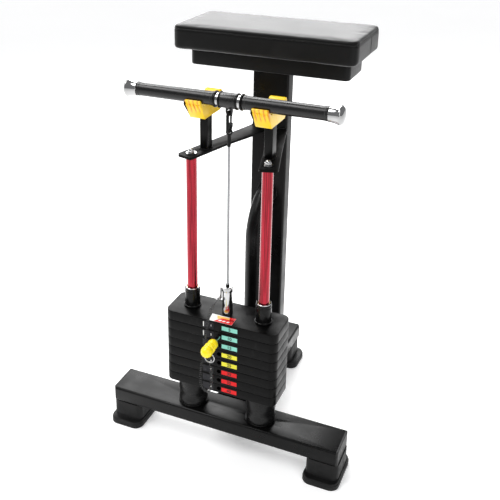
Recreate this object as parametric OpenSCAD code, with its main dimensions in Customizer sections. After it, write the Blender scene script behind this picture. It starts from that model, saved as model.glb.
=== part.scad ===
// Ab crunch machine: a T-shaped base with a short weight stack on two guide rods, an
// upright that carries a padded rest, and a straight bar on a cable that sits in two cradles.
// The width runs along X, the front faces -Y and the floor is Z = 0.

/* [Base] */
// Length of the front beam
beam_len = 606; // [560:2:660]
// Width of the base tubes, front to back on the beam
beam_w = 92; // [84:2:100]
// Height of the base tubes
beam_h = 40; // [36:1:46]
// Height of the beam's top above the floor
beam_top = 100; // [94:1:110]
// Distance from the guide rods back to the end of the spine
spine_end = 438; // [420:2:460]
// Wall of the steel tubes
tube_wall = 3; // [2:0.5:4]

/* [Weight stack] */
// Diameter of the guide rods
rod_d = 25; // [24:0.5:26]
// Distance between the guide rods
rod_spacing = 184; // [176:2:192]
// Number of plates, with the head plate
plate_count = 8; // [8:1:8]
// Width of a plate
plate_w = 286; // [276:2:300]
// Depth of a plate
plate_d = 98; // [92:2:104]
// Thickness of a plate
plate_t = 24.5; // [22:0.5:25]
// Height of the bumpers that the stack rests on
bumper_h = 80; // [70:1:90]

/* [Upright and pad] */
// Width of the upright
upright_w = 92; // [80:2:100]
// Depth of the upright
upright_d = 40; // [36:1:50]
// Distance from the guide rods back to the upright
upright_y = 248; // [240:2:260]
// Width of the cushion
pad_w = 454; // [400:2:460]
// Depth of the cushion
pad_d = 213; // [200:1:240]
// Thickness of the cushion
pad_t = 62; // [50:1:70]
// Height of the cushion's top above the floor
pad_top = 1019; // [1010:1:1030]

/* [Bar] */
// Length of the bar over its end caps
bar_len = 512; // [480:2:540]
// Diameter of the grips
grip_d = 32; // [30:0.5:34]
// Height of the bar's axis above the floor
bar_z = 905; // [900:1:908]
// Distance between the middles of the two cradles
cradle_spacing = 156; // [150:2:170]

/* [Hidden] */
$fn = 48;
far = 1000;                     // longer than any cut needs
gap = 0.3;                      // air between pieces that part
rod_x = rod_spacing / 2;
rod_r = rod_d / 2;
plate_pitch = plate_t + gap;
plate_corner = 18;
plate_edge = 1.4;
stack_z = beam_top + bumper_h;
head_z = stack_z + (plate_count - 1) * plate_pitch;
head_top = head_z + plate_t;
sleeve_h = 50;                  // guide sleeves, above the head plate
spine_w = beam_w;
spine_z = beam_top - beam_h;

// Feet
foot_len = 90;                  // along the beam
foot_lip = 17;                  // how far the flange stands out
foot_h = spine_z;
foot_flange_t = 13;
foot_bead_t = 4;
foot_corner = 22;
foot_x = beam_len / 2 - 38;     // middle of a front foot
foot_inset = 8;                 // block narrower than the flange, along the beam
rear_foot_y = spine_end - foot_len / 2 + 4;

// Selector
stem_r = 12.5;
stem_bottom = stack_z + 8;
stem_top = 452;
pin_r = 5;
pin_plate = 2;
knob_mid = 102;                 // knob's neck, in front of the rods
knob_reach = 131;

// Bracket arms, rods' top ends and cradles
arm_t = 6;
arm_z = 764;                    // underside
stud_r = 5;
cradle_x = cradle_spacing / 2;
cradle_w = 37;
cradle_bottom = bar_z - 52;
cradle_front = -24;
cradle_back = 96;
post_y = 48;
post_w = 20;
post_d = 26;
saddle_t = 5;
saddle_inset = 3.5;
saddle_y = 10;
saddle_len = 74;

// Pad
pad_y = 172;                    // front of the cushion
pad_mid_y = pad_y + pad_d / 2;
pad_corner = 20;
base_w = 402;
base_d = 120;
base_t = 43;
board_t = 12;
board_inset = 7;
base_z = pad_top - pad_t - base_t;
pad_plate_t = 6;
upright_top = base_z - pad_plate_t;

// Brace
brace_r = 25;
brace_y = 172;
brace_bend_z = 490;
brace_bend_r = 110;
brace_turn = 60;

// Bar, snap hook and cable
bar_r = 12.7;
grip_r = grip_d / 2;
grip_in = 33.5;
cap_in = 222;
hook_r = 3.6;                    // wire of the snap hook
hook_half = 9;                  // half the width of its loop, at the wire's middle
hook_top = bar_z - 25;          // wire's middle at the top
hook_foot = bar_z - 70;         // wire's middle at the bottom
gate_z = bar_z - 57;            // gate's rivet
gate_len = 20;
eye_z = hook_foot - 0.7;         // middle of the cable's eye
eye_r = 6.4;
eye_wire = 1.9;
cable_r = 3.2;

// The box's middle in Y is the origin, so the rods stand a little in front of it
rear_reach = rear_foot_y + foot_len / 2;
rod_y = (knob_reach - rear_reach) / 2;

// Lanyard: a curly cord of this outer radius, along these points in the rods' frame
lanyard_r = 3.5;
lanyard_route = [
    [-22, -13, 411], [-24, -22, 408], [-25, -36, 403], [-25, -50, 394], [-25, -58, 376],
    [-27, -61, 350], [-30, -62, 320], [-34, -63, 290], [-38, -64, 260], [-40, -66, 235],
    [-38, -70, 214], [-28, -76, 203], [-14, -83, 205], [-3, -90, 222], [2, -95, 250],
    [2, -99, 276], [0, -101.5, 301.4]
];

// ---- Shapes that repeat ----

// Puts a part drawn round the guide rods' plane in its place
module placed() { translate([0, rod_y, 0]) children(); }

// Both sides of the machine
module both_sides() {
    for (side = [-1, 1]) translate([side * rod_x, 0, 0]) children();
}

// Rectangle w by d with true round corners
module round_rect(w, d, r) {
    square([w - 2 * r, d], center = true);
    square([w, d - 2 * r], center = true);
    for (x = [-1, 1], y = [-1, 1])
        translate([x * (w / 2 - r), y * (d / 2 - r)]) circle(r);
}

// Upright block with round corners, from z0 to z1
module block(w, d, r, z0, z1) {
    translate([0, 0, z0]) linear_extrude(z1 - z0) round_rect(w, d, r);
}

// Round bar along Z from z0 to z1
module bar_along_z(r, z0, z1) { translate([0, 0, z0]) cylinder(r = r, h = z1 - z0); }

// Round bar along X from x0 to x1
module bar_along_x(r, x0, x1) { translate([x0, 0, 0]) rotate([0, 90, 0]) cylinder(r = r, h = x1 - x0); }

// Round bar along Y from y0 to y1
module bar_along_y(r, y0, y1) { translate([0, y0, 0]) rotate([-90, 0, 0]) cylinder(r = r, h = y1 - y0); }

// Outline w by h with its corners cut off by e
module broken_rect(w, h, e) {
    polygon([[-w / 2 + e, -h / 2], [w / 2 - e, -h / 2], [w / 2, -h / 2 + e], [w / 2, h / 2 - e],
             [w / 2 - e, h / 2], [-w / 2 + e, h / 2], [-w / 2, h / 2 - e], [-w / 2, -h / 2 + e]]);
}

// Block with round corners in plan, whose top and bottom edges are broken by e
module broken_block(w, d, r, z0, z1, e) {
    h = z1 - z0;
    translate([0, 0, (z0 + z1) / 2]) {
        rotate([90, 0, 90]) linear_extrude(w - 2 * r, center = true) broken_rect(d, h, e);
        rotate([90, 0, 0]) linear_extrude(d - 2 * r, center = true) broken_rect(w, h, e);
        for (x = [-1, 1], y = [-1, 1])
            translate([x * (w / 2 - r), y * (d / 2 - r), 0]) rotate_extrude()
                polygon([[0, -h / 2], [r - e, -h / 2], [r, -h / 2 + e], [r, h / 2 - e],
                         [r - e, h / 2], [0, h / 2]]);
    }
}

// Section of the base tubes, with the hollow
module tube_section(w, h, r) {
    difference() {
        round_rect(w, h, r);
        round_rect(w - 2 * tube_wall, h - 2 * tube_wall, r - tube_wall + 1);
    }
}

// ---- Base ----

module front_beam() {
    color("#17181a") placed() difference() {
        translate([-beam_len / 2 + 5, 0, beam_top - beam_h / 2]) rotate([90, 0, 90])
            linear_extrude(beam_len - 10) tube_section(beam_w, beam_h, 6);
        both_sides() bar_along_z(6.5, spine_z - 1, beam_top + 1);
        for (x = [-1, 1], dx = [-16, 16])
            translate([x * foot_x + dx, 0, 0]) bar_along_z(4.5, spine_z - 1, spine_z + tube_wall + 1);
    }
}

module spine_beam() {
    color("#17181a") placed() difference() {
        translate([0, beam_w / 2, beam_top - beam_h / 2]) rotate([-90, 0, 0])
            linear_extrude(spine_end - beam_w / 2 - 5) tube_section(spine_w, beam_h, 6);
        for (dy = [-16, 16])
            translate([0, rear_foot_y + dy, 0]) bar_along_z(4.5, spine_z - 1, spine_z + tube_wall + 1);
    }
}

// Cap that closes a tube's end: a plug and a face with round edges, pointing along +X
module end_cap() {
    plug_w = beam_w - 2 * tube_wall - 1;
    plug_h = beam_h - 2 * tube_wall - 1;
    translate([-10, 0, 0]) rotate([90, 0, 90]) linear_extrude(11) round_rect(plug_w, plug_h, 2);
    intersection() {
        translate([-10, 0, 0]) rotate([90, 0, 90]) linear_extrude(15) round_rect(beam_w, beam_h, 6);
        translate([-5, 0, -beam_h]) linear_extrude(2 * beam_h) round_rect(20, beam_w, 9);
        translate([0, -far / 2, -far / 2]) cube([far, far, far]);
    }
}

module beam_end_caps() {
    mid_z = beam_top - beam_h / 2;
    color("#1b1b1d") placed() {
        translate([beam_len / 2 - 5, 0, mid_z]) end_cap();
        translate([-beam_len / 2 + 5, 0, mid_z]) rotate([0, 0, 180]) end_cap();
        translate([0, spine_end - 5, mid_z]) rotate([0, 0, 90]) end_cap();
    }
}

// Rubber foot under a tube: a block as wide as the tube on a wider flange with a bead
module foot(bolt_dx, bolt_dy) {
    lip_w = beam_w + 2 * foot_lip;
    difference() {
        union() {
            block(foot_len, lip_w, foot_corner, 0, foot_flange_t);
            block(foot_len - 8, lip_w - 8, foot_corner - 4, 0, foot_flange_t + foot_bead_t);
            block(foot_len - 2 * foot_inset, beam_w, 6, 0, foot_h);
        }
        for (side = [-1, 1]) translate([side * bolt_dx, side * bolt_dy, 0]) {
            bar_along_z(4.5, -1, foot_h + 1);
            bar_along_z(9, -1, 30);
        }
    }
}

module front_foot(side) {
    color("#141414") placed() translate([side * foot_x, 0, 0]) foot(16, 0);
}
module front_foot_left() { front_foot(-1); }
module front_foot_right() { front_foot(1); }

module rear_foot() {
    color("#141414") placed() translate([0, rear_foot_y, 0]) rotate([0, 0, 90]) foot(16, 0);
}

// Hexagon bolts from below, heads sunk in the feet
module foot_bolt() {
    bar_along_z(4, 24, spine_z + 14);
    translate([0, 0, 24]) cylinder(r = 7.5, h = 6, $fn = 6);
}

module foot_bolts() {
    color("silver") placed() {
        for (x = [-1, 1], dx = [-16, 16]) translate([x * foot_x + dx, 0, 0]) foot_bolt();
        for (dy = [-16, 16]) translate([0, rear_foot_y + dy, 0]) foot_bolt();
    }
}

// ---- Upright and brace ----

module upright() {
    mid_y = upright_y + upright_d / 2;
    color("#17181a") placed() translate([0, mid_y, beam_top])
        linear_extrude(upright_top - beam_top) tube_section(upright_w, upright_d, 6);
}

// Ring section of the brace tube
module brace_ring() {
    difference() {
        circle(brace_r);
        circle(brace_r - tube_wall);
    }
}

module brace_tube() {
    color("#17181a") placed() difference() {
        translate([0, brace_y, 0]) union() {
            translate([0, 0, beam_top]) linear_extrude(brace_bend_z - beam_top) brace_ring();
            translate([0, brace_bend_r, brace_bend_z]) rotate([90, 0, -90])
                rotate_extrude(angle = brace_turn) translate([brace_bend_r, 0]) brace_ring();
            translate([0, brace_bend_r * (1 - cos(brace_turn)),
                       brace_bend_z + brace_bend_r * sin(brace_turn)])
                rotate([-brace_turn, 0, 0]) linear_extrude(90) brace_ring();
        }
        translate([-far / 2, upright_y, 0]) cube([far, far, far]);
    }
}

// ---- Bracket arms and guide rods ----

// Plan of the right arm: square at the rod's end, tapering a little towards the upright,
// where the two arms meet
module arm_plan() {
    inner = gap / 2;
    polygon([[rod_x - 10, -27], [rod_x + 24, -17], [rod_x + 28, -10], [86, 106], [60, 200],
             [upright_w / 2 + 1, upright_y], [inner, upright_y], [inner, upright_y - 24],
             [17, 178], [44, 103], [rod_x - 13, -22]]);
}

module bracket_arm() {
    difference() {
        translate([0, 0, arm_z]) linear_extrude(arm_t) arm_plan();
        translate([rod_x, 0, 0]) bar_along_z(stud_r + 0.3, arm_z - 1, arm_z + arm_t + 1);
    }
}
module bracket_arm_right() { color("#1c1d1f") placed() bracket_arm(); }
module bracket_arm_left() { color("#1c1d1f") placed() mirror([1, 0, 0]) bracket_arm(); }

// Guide rod with a threaded stud on top and a tapped hole below
module guide_rod(side) {
    color("#8c1c2c") placed() translate([side * rod_x, 0, 0]) difference() {
        union() {
            bar_along_z(rod_r, beam_top, arm_z);
            bar_along_z(stud_r, arm_z - 1, arm_z + arm_t + 9);
        }
        bar_along_z(6.2, beam_top - 1, beam_top + 36);
    }
}
module guide_rod_left() { guide_rod(-1); }
module guide_rod_right() { guide_rod(1); }

module rod_washers() {
    top = arm_z + arm_t;
    color("silver") placed() both_sides() difference() {
        bar_along_z(12.4, top, top + 2.5);
        bar_along_z(stud_r + 0.3, top - 1, top + 4);
    }
}

// Acorn nuts on the rods' studs
module rod_nuts() {
    foot = arm_z + arm_t + 2.5;
    color("silver") placed() both_sides() difference() {
        union() {
            translate([0, 0, foot]) cylinder(r = 8.6, h = 5, $fn = 6);
            intersection() {
                translate([0, 0, foot + 5]) sphere(6.6);
                bar_along_z(6.6, foot + 4, foot + 12);
            }
        }
        bar_along_z(stud_r, foot - 1, arm_z + arm_t + 9.2);
    }
}

// Bolts that come up through the beam into the rods
module rod_base_bolts() {
    color("silver") placed() both_sides() {
        bar_along_z(6, spine_z - 1, beam_top + 30);
        translate([0, 0, spine_z - 8]) cylinder(r = 10.5, h = 8, $fn = 6);
    }
}

// ---- Bar cradles ----

module cradle_post(side) {
    color("#17181a") placed() translate([side * cradle_x, post_y, arm_z + arm_t])
        linear_extrude(cradle_bottom - arm_z - arm_t) difference() {
            round_rect(post_w, post_d, 2.5);
            round_rect(post_w - 4, post_d - 4, 1);
        }
}
module cradle_post_left() { cradle_post(-1); }
module cradle_post_right() { cradle_post(1); }

// Steel saddle under each cradle: a plate let into the cradle's underside, and a cheek
// that stands against its left side
module cradle_saddles() {
    cheek_t = 3;
    left = -cradle_w / 2 - cheek_t;
    color("#17181a") placed() for (side = [-1, 1])
        translate([side * cradle_x + left, 0, cradle_bottom]) {
            translate([0, saddle_y, 0]) cube([cradle_w + cheek_t - saddle_inset, saddle_len, saddle_t]);
            rotate([90, 0, 90]) linear_extrude(cheek_t)
                polygon([[saddle_y, 0], [60, 0], [60, saddle_t], [26, 13], [-2, 29], [-17, 43],
                         [-21, 43], [-22, 37]]);
        }
}

// Side profile of a cradle, Y across and Z up: a front lip, a round seat under the bar,
// a flat floor behind it and a low rear lip
module cradle_profile() {
    seat_r = grip_r + 0.35;
    floor_z = bar_z - seat_r;
    difference() {
        polygon([[cradle_front + 1, bar_z - 5.5], [cradle_front + 3.5, bar_z - 4],
                 [cradle_front + 9, bar_z - 4.5], [0, floor_z - 4], [74, floor_z],
                 [80, bar_z - 8], [84, bar_z - 5], [cradle_back - 3, bar_z - 5.5],
                 [cradle_back, bar_z - 9], [cradle_back, cradle_bottom + 12],
                 [cradle_back - 10, cradle_bottom], [5, cradle_bottom], [2, cradle_bottom + 3]]);
        translate([0, bar_z]) circle(seat_r, $fn = 96);
    }
}

// Plastic cradle with a pocket for the saddle
module cradle(side) {
    slack = 0.1;
    color("#f2b705") placed() translate([side * cradle_x - cradle_w / 2, 0, 0]) difference() {
        rotate([90, 0, 90]) linear_extrude(cradle_w) cradle_profile();
        translate([-1, saddle_y - slack, cradle_bottom - 1])
            cube([cradle_w - saddle_inset + slack + 1, saddle_len + 2 * slack, saddle_t + slack + 1]);
    }
}
module cradle_left() { cradle(-1); }
module cradle_right() { cradle(1); }

// ---- Weight stack ----

// One plate from z up, with broken edges and the bores for the rods and the stem
module plate_blank(z, guide_bore) {
    difference() {
        broken_block(plate_w, plate_d, plate_corner, z, z + plate_t, plate_edge);
        both_sides() bar_along_z(guide_bore, z - 1, z + plate_t + 1);
        bar_along_z(stem_r + 0.6, z - 1, z + plate_t + 1);
    }
}

module weight_plate(n) {
    z = head_z - (n - 1) * plate_pitch;
    color("#202123") placed() difference() {
        plate_blank(z, rod_r + 2);
        translate([0, 0, z + plate_t / 2]) bar_along_y(pin_r + 0.5, -plate_d, 32);
    }
}
module weight_plate_2() { weight_plate(2); }
module weight_plate_3() { weight_plate(3); }
module weight_plate_4() { weight_plate(4); }
module weight_plate_5() { weight_plate(5); }
module weight_plate_6() { weight_plate(6); }
module weight_plate_7() { weight_plate(7); }
module weight_plate_8() { weight_plate(8); }

module head_plate() {
    color("#202123") placed() difference() {
        plate_blank(head_z, rod_r + 4.5);
        translate([0, 0, head_z + plate_t / 2]) {
            bar_along_y(4.2, -plate_d, 0);
            bar_along_y(7.2, -plate_d, -plate_d / 2 + 8);
        }
    }
}

// Rubber bumpers round the rods, on steel rings
module bumper(side) {
    color("#151515") placed() translate([side * rod_x, 0, beam_top]) rotate_extrude()
        polygon([[rod_r + 1, 5], [35, 5], [36, 8], [36, bumper_h - 10], [34.5, bumper_h - 5],
                 [31, bumper_h - 1.5], [27, bumper_h], [rod_r + 1, bumper_h]]);
}
module bumper_left() { bumper(-1); }
module bumper_right() { bumper(1); }

module bumper_rings() {
    color("#2a2b2d") placed() both_sides() difference() {
        bar_along_z(37.5, beam_top, beam_top + 5);
        bar_along_z(rod_r + 0.5, beam_top - 1, beam_top + 6);
    }
}

// Sleeves that carry the bushes, standing on the head plate
module guide_sleeve(side) {
    color("#1a1b1d") placed() translate([side * rod_x, 0, 0]) difference() {
        union() {
            bar_along_z(18.5, head_top, head_top + sleeve_h);
            bar_along_z(21, head_top, head_top + 4);
        }
        bar_along_z(rod_r + 4, head_top - 1, head_top + sleeve_h + 1);
    }
}
module guide_sleeve_left() { guide_sleeve(-1); }
module guide_sleeve_right() { guide_sleeve(1); }

module sleeve_rings() {
    color("silver") placed() both_sides() translate([0, 0, head_top + sleeve_h]) rotate_extrude()
        polygon([[rod_r + 1.5, 0], [17, 0], [17.5, 0.6], [17.5, 1.8], [16.8, 2.5],
                 [rod_r + 2.2, 2.5], [rod_r + 1.5, 1.8]]);
}

// Bearing bushes inside the sleeves
module guide_bushes() {
    color("#c9a24a") placed() both_sides() difference() {
        bar_along_z(rod_r + 4, head_z + 2, head_top + sleeve_h);
        bar_along_z(rod_r + 0.07, head_z, head_top + sleeve_h + 1);
    }
}

// Selector stem: a chrome bar with one cross hole for each plate and an eye on top
module selector_stem() {
    color("silver") placed() difference() {
        union() {
            bar_along_z(stem_r, stem_bottom + 3, stem_top - 1);
            translate([0, 0, stem_bottom]) cylinder(r1 = stem_r - 3, r2 = stem_r, h = 3);
            translate([0, 0, stem_top - 1]) cylinder(r1 = stem_r, r2 = stem_r - 1, h = 1);
        }
        for (n = [2 : plate_count])
            translate([0, 0, head_z - (n - 1) * plate_pitch + plate_t / 2])
                bar_along_y(pin_r + 0.08, -20, 20);
        translate([0, 0, head_z + plate_t / 2]) bar_along_y(4, -20, 0);
        bar_along_z(3.6, stem_top - 26, stem_top + 1);
    }
}

// Screw that fixes the head plate to the stem
module stem_screw() {
    color("#303234") placed() translate([0, 0, head_z + plate_t / 2]) {
        bar_along_y(4, -plate_d / 2 + 7, -1);
        difference() {
            bar_along_y(6.9, -plate_d / 2 + 1, -plate_d / 2 + 8);
            translate([0, -plate_d / 2 + 5, 0]) rotate([90, 0, 0]) cylinder(r = 3.4, h = 8, $fn = 6);
        }
    }
}

// Band round the stem with a tab, and the ferrule that the lanyard comes out of
module lanyard_clip() {
    color("silver") placed() {
        difference() {
            bar_along_z(stem_r + 1.8, stem_top - 12, stem_top - 1.5);
            bar_along_z(stem_r, stem_top - 13, stem_top);
        }
        translate([-stem_r - 6.4, -4.5, stem_top - 40]) cube([2, 9, 35]);
        translate([-stem_r - 6.4, -4.5, stem_top - 7]) cube([5.6, 9, 2]);
        translate([-stem_r - 9.4, 0, stem_top - 36]) bar_along_y(3.2, -12.8, 1);
    }
}

// ---- Lanyard: one swept tube ----

function unit(v) = v / norm(v);
function along(route, i) = unit(route[min(i + 1, len(route) - 1)] - route[max(i - 1, 0)]);
// Smooth curve through four points of the route
function between(a, b, c, d, t) =
    b + 0.5 * t * ((c - a) + t * ((2 * a - 5 * b + 4 * c - d) + t * (3 * (b - c) + d - a)));
function smooth(route, n) = concat(
    [for (i = [0 : len(route) - 2], k = [0 : n - 1])
        between(route[max(i - 1, 0)], route[i], route[i + 1],
                route[min(i + 2, len(route) - 1)], k / n)],
    [route[len(route) - 1]]);

module swept_tube(path, r, sides) {
    ring = function (i)
        let (t = along(path, i), a = unit(cross(t, [0.31, 0.95, 0])), b = cross(t, a))
        [for (k = [0 : sides - 1]) path[i] + r * (a * cos(360 * k / sides) + b * sin(360 * k / sides))];
    last = len(path) - 1;
    points = [for (i = [0 : last]) each ring(i)];
    sides_faces = [for (i = [0 : last - 1], k = [0 : sides - 1])
        each let (p = i * sides + k, q = i * sides + (k + 1) % sides)
            [[p, q, q + sides], [p, q + sides, p + sides]]];
    start_cap = [[for (k = [sides - 1 : -1 : 0]) k]];
    end_cap = [[for (k = [0 : sides - 1]) last * sides + k]];
    polyhedron(points, concat(sides_faces, start_cap, end_cap));
}

module lanyard() {
    color("#101010") placed() swept_tube(smooth(lanyard_route, 2), lanyard_r, 8);
}

// ---- Selector pin ----

pin_z = head_z - (pin_plate - 1) * plate_pitch + plate_t / 2;

module pin_shaft() {
    color("silver") placed() translate([0, 0, pin_z]) {
        bar_along_y(pin_r, -knob_reach + 30, 22);
        translate([0, 22, 0]) rotate([-90, 0, 0]) cylinder(r1 = pin_r, r2 = pin_r - 2, h = 3);
    }
}

// Knob turned round the pin: a collar, a neck and a ball-shaped end
module pin_knob() {
    color("#ffd21a") placed() translate([0, 0, pin_z]) rotate([90, 0, 0]) difference() {
        rotate_extrude() union() {
            intersection() {
                translate([0, 84]) circle(12.5);
                translate([0, 73]) square([20, 30]);
            }
            intersection() {
                translate([0, 117]) circle(14);
                translate([0, 90]) square([20, 60]);
            }
            translate([0, 84]) square([9, 33]);
        }
        translate([0, 0, 60]) cylinder(r = pin_r, h = knob_reach - 30 - 60);
    }
}

// Eyelet under the knob's neck and the ring that hangs from it
module pin_ring() {
    wire = 1.3;
    eye = 4;
    ring = 12;
    top = pin_z - 9;
    color("silver") placed() translate([0, -knob_mid, 0]) {
        translate([0, 0, top - eye - 0.4]) rotate([0, 90, 0])
            rotate_extrude() translate([eye, 0]) circle(wire);
        translate([0, 0, top - eye - ring - 1]) rotate([90, 0, 0])
            rotate_extrude() translate([ring, 0]) circle(wire);
    }
}

// ---- Cable and snap hook ----

module lift_cable() {
    color("#5a5d60") placed() bar_along_z(cable_r, stem_top - 24, eye_z - eye_r - 3);
}

// Crimp with an eye at the top of the cable, and a collar where it enters the stem
module cable_crimps() {
    crimp_top = eye_z - eye_r;
    color("#161616") placed() {
        difference() {
            union() {
                bar_along_z(4.2, crimp_top - 27, crimp_top);
                translate([0, 0, eye_z]) rotate([90, 0, 0])
                    rotate_extrude() translate([eye_r, 0]) circle(eye_wire);
            }
            bar_along_z(cable_r, crimp_top - 30, crimp_top - 3);
        }
        difference() {
            bar_along_z(4.8, stem_top, stem_top + 4);
            bar_along_z(cable_r, stem_top - 1, stem_top + 5);
        }
    }
}

// The snap hook and its gate are drawn in the plane of X and Z, and then turned side on
module side_on() { rotate([0, 0, 90]) children(); }

// Half of a loop of wire
module wire_half_loop() {
    rotate([90, 0, 0]) rotate_extrude(angle = 180) translate([hook_half, 0]) circle(hook_r);
}

// Snap hook: a wire loop whose rear side is closed by the gate
module snap_hook() {
    top_mid = hook_top - hook_half;
    foot_mid = hook_foot + hook_half;
    ear_r = 4.4;
    color("#18181a") placed() side_on() difference() {
        union() {
            translate([0, 0, top_mid]) wire_half_loop();
            translate([0, 0, foot_mid]) rotate([0, 180, 0]) wire_half_loop();
            translate([-hook_half, 0, 0]) bar_along_z(hook_r, foot_mid, top_mid);
            translate([hook_half, 0, 0]) bar_along_z(hook_r, gate_z + gate_len + 0.6, top_mid);
            translate([hook_half, 0, gate_z]) bar_along_y(ear_r, -4, 4);
            translate([hook_half - 3.9, -4, foot_mid]) cube([7.8, 8, gate_z - foot_mid]);
        }
        translate([hook_half, 0, gate_z]) {
            bar_along_y(1.6, -9, 9);
            bar_along_y(ear_r + 0.6, -2.3, 2.3);
        }
    }
}

module gate_rivet() {
    color("silver") placed() side_on() translate([hook_half, 0, gate_z]) {
        bar_along_y(1.6, -4, -2.2);
        bar_along_y(1.6, 2.2, 4);
        bar_along_y(1.5, -4, 4);
        bar_along_y(2.6, -5, -4);
        bar_along_y(2.6, 4, 5);
    }
}

module hook_gate() {
    color("silver") placed() side_on() translate([hook_half, 0, gate_z]) difference() {
        union() {
            bar_along_y(3.8, -1.9, 1.9);
            bar_along_z(2.4, 1, gate_len);
        }
        bar_along_y(1.56, -5, 5);
        for (side = [-1, 1]) translate([-8, side * 4.4 - 2.5, -6]) cube([16, 5, 11]);
    }
}

// ---- Bar ----

// Sleeve in the middle of the bar, with a lug that the hook hangs from
module bar_sleeve() {
    color("#141416") placed() translate([0, 0, bar_z]) difference() {
        union() {
            bar_along_x(grip_r + 1, -17.5, 17.5);
            translate([-8, -3, -24.5]) cube([16, 6, 12]);
            translate([0, 0, -24.5]) bar_along_y(8, -3, 3);
        }
        bar_along_x(bar_r + 0.07, -far, far);
        translate([0, 0, -24.5]) bar_along_y(5, -far, far);
    }
}

module bar_tube() {
    half = bar_len / 2 - 12;
    color("silver") placed() translate([0, 0, bar_z]) difference() {
        bar_along_x(bar_r, -half, half);
        bar_along_x(bar_r - 2.7, -half - 1, half + 1);
    }
}

module grip(side) {
    color("#161616") placed() translate([0, 0, bar_z]) rotate([0, 0, side > 0 ? 0 : 180]) difference() {
        bar_along_x(grip_r, grip_in, cap_in);
        bar_along_x(bar_r, 0, far);
    }
}
module grip_left() { grip(-1); }
module grip_right() { grip(1); }

// Two chrome rings on each side of the sleeve, with a spacer between them
module bar_collars() {
    color("silver") placed() translate([0, 0, bar_z]) for (side = [0, 180])
        rotate([0, 0, side]) difference() {
            union() {
                bar_along_x(grip_r + 2.5, 18, 22);
                bar_along_x(grip_r - 0.5, 21, 30);
                bar_along_x(grip_r + 2.5, 29, 33);
            }
            bar_along_x(bar_r, 0, far);
        }
}

// Flared chrome ends with a domed face
module bar_end_caps() {
    color("silver") placed() translate([0, 0, bar_z]) for (side = [0, 180])
        rotate([0, 90, side]) rotate_extrude() polygon(concat(
            [[bar_r, cap_in], [grip_r + 1, cap_in]],
            [for (t = [0 : 0.125 : 1]) [grip_r + 1 + 4.4 * pow(t, 1.8), cap_in + 2 + 22 * t]],
            [for (a = [20 : 20 : 60]) [grip_r + 2.4 + 3 * cos(a), cap_in + 24.4 + 3 * sin(a)]],
            [for (a = [15 : 15 : 75]) [(grip_r + 2.4) * cos(a), bar_len / 2 - 6.4 + 6.4 * sin(a)]],
            [[0, bar_len / 2], [0, bar_len / 2 - 11.9], [bar_r, bar_len / 2 - 11.9]]));
}

// ---- Pad ----

// Four screw places under the pad
module at_screws() {
    for (x = [-85, 85], y = [-12, 12]) translate([x, y, 0]) children();
}

module pad_plate() {
    color("#17181a") placed() translate([0, pad_mid_y, 0]) difference() {
        block(220, 54, 10, upright_top, base_z);
        at_screws() bar_along_z(4.5, upright_top - 1, base_z + 1);
    }
}

// Plywood board let into the underside of the block
module pad_board() {
    color("#8a6a45") placed() translate([0, pad_mid_y, 0]) difference() {
        block(base_w - 2 * board_inset, base_d - 2 * board_inset, 8, base_z, base_z + board_t);
        at_screws() bar_along_z(4, base_z - 1, base_z + board_t - 2);
    }
}

// Upholstered block under the cushion
module pad_base() {
    slack = 0.1;
    color("#1d1d1f") placed() translate([0, pad_mid_y, 0]) difference() {
        block(base_w, base_d, 14, base_z, base_z + base_t);
        block(base_w - 2 * (board_inset - slack), base_d - 2 * (board_inset - slack), 8,
              base_z - 1, base_z + board_t + slack);
    }
}

module pad_cushion() {
    color("#232426") placed() translate([0, pad_mid_y, 0])
        block(pad_w, pad_d, pad_corner, pad_top - pad_t, pad_top);
}

module pad_screws() {
    color("silver") placed() translate([0, pad_mid_y, 0]) at_screws() {
        bar_along_z(4, upright_top - 1, base_z + board_t - 2.5);
        translate([0, 0, upright_top - 2.4]) cylinder(r = 6.5, h = 2.4);
    }
}

front_beam();
spine_beam();
beam_end_caps();
front_foot_left();
front_foot_right();
rear_foot();
foot_bolts();
upright();
brace_tube();
bracket_arm_left();
bracket_arm_right();
cradle_post_left();
cradle_post_right();
cradle_saddles();
cradle_left();
cradle_right();
guide_rod_left();
guide_rod_right();
rod_washers();
rod_nuts();
rod_base_bolts();
bumper_left();
bumper_right();
bumper_rings();
weight_plate_2();
weight_plate_3();
weight_plate_4();
weight_plate_5();
weight_plate_6();
weight_plate_7();
weight_plate_8();
pad_plate();
pad_board();
pad_base();
pad_cushion();
pad_screws();
head_plate();
guide_sleeve_left();
guide_sleeve_right();
sleeve_rings();
guide_bushes();
selector_stem();
stem_screw();
lanyard_clip();
lanyard();
lift_cable();
cable_crimps();
snap_hook();
gate_rivet();
hook_gate();
bar_sleeve();
bar_tube();
grip_left();
grip_right();
bar_collars();
bar_end_caps();
pin_shaft();
pin_knob();
pin_ring();
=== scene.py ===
from math import cos, pi, radians, sin

import bpy
from mathutils import Matrix, Quaternion, Vector


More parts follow.
